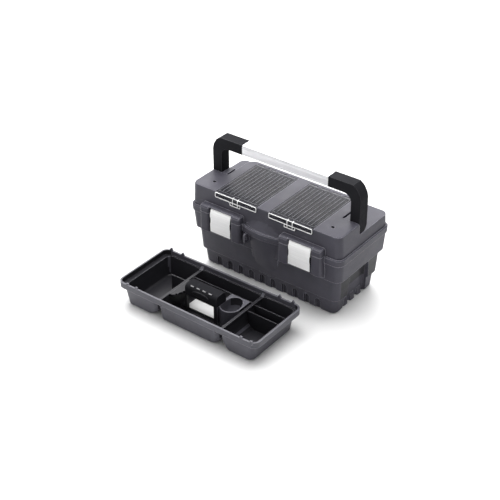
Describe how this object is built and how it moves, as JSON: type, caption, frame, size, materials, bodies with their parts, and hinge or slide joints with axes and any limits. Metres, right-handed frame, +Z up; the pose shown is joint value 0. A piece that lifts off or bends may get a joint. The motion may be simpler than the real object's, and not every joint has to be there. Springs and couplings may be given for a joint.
{
  "type": "toolbox with tray",
  "caption": "Moulded plastic toolbox with metal latches, a folding handle, clear organiser covers in the lid and a lift-out tray",
  "frame": {"origin": "centre of the box's underside, on the floor; the lift-out tray stands on the same floor in front of the box", "axes": "+X along the length of the box toward its right end, -Y toward the front with the latches, +Z up"},
  "size_m": [0.5775, 0.5725, 0.4],
  "materials": {
    "shell_plastic": "fine-grained dark lavender-grey moulded plastic",
    "tray_plastic": "satin dark grey moulded plastic",
    "black_plastic": "near-black satin moulded plastic",
    "clear_plastic": "smoke-tinted clear moulded plastic with polished edges",
    "aluminium": "brushed and clear-anodised",
    "steel_pin": "turned and zinc plated"
  },
  "bodies": {
    "base": {"base_shell": "shell_plastic", "hinge_pin_right": "steel_pin", "hinge_pin_left": "steel_pin"},
    "lid": {"lid_shell": "shell_plastic", "cover_hinge_rod_right": "steel_pin", "cover_hinge_rod_left": "steel_pin", "divider_1_right": "black_plastic", "divider_1_left": "black_plastic", "divider_2_right": "black_plastic", "divider_2_left": "black_plastic", "divider_3_right": "black_plastic", "divider_3_left": "black_plastic", "latch_pin_right": "steel_pin", "latch_pin_left": "steel_pin", "handle_pivot_pin_right": "steel_pin", "handle_pivot_pin_left": "steel_pin"},
    "handle": {"handle_arm_right": "black_plastic", "handle_arm_left": "black_plastic", "handle_screw_right": "steel_pin", "handle_screw_left": "steel_pin", "grip_bar": "aluminium"},
    "cover_right": {"organiser_cover_right": "clear_plastic"},
    "cover_left": {"organiser_cover_left": "clear_plastic"},
    "latch_right": {"latch_plate_right": "aluminium", "latch_carrier_right": "black_plastic"},
    "latch_left": {"latch_plate_left": "aluminium", "latch_carrier_left": "black_plastic"},
    "tray": {"tray_shell": "tray_plastic", "tray_handle": "black_plastic"}
  },
  "joints": [
    {"name": "lid_hinge", "type": "hinge", "parent": "base", "child": "lid", "pos_m": [0, 0.1365, 0.213], "axis": [-1, 0, 0], "range_deg": [0, 105]},
    {"name": "handle_fold", "type": "hinge", "parent": "lid", "child": "handle", "pos_m": [0, -0.007, 0.269], "axis": [-1, 0, 0], "range_deg": [0, 90]},
    {"name": "cover_right_hinge", "type": "hinge", "parent": "lid", "child": "cover_right", "pos_m": [0.09775, 0.076, 0.2812], "axis": [-1, 0, 0], "range_deg": [0, 35]},
    {"name": "cover_left_hinge", "type": "hinge", "parent": "lid", "child": "cover_left", "pos_m": [-0.09775, 0.076, 0.2812], "axis": [-1, 0, 0], "range_deg": [0, 35]},
    {"name": "latch_right_hinge", "type": "hinge", "parent": "lid", "child": "latch_right", "pos_m": [0.1426, -0.1385, 0.223], "axis": [-1, 0, 0], "range_deg": [0, 90]},
    {"name": "latch_left_hinge", "type": "hinge", "parent": "lid", "child": "latch_left", "pos_m": [-0.1426, -0.1385, 0.223], "axis": [-1, 0, 0], "range_deg": [0, 90]},
    {"name": "tray_lift", "type": "slide", "parent": "base", "child": "tray", "axis": [0, 0, 1], "range_m": [0, 0.25]}
  ]
}
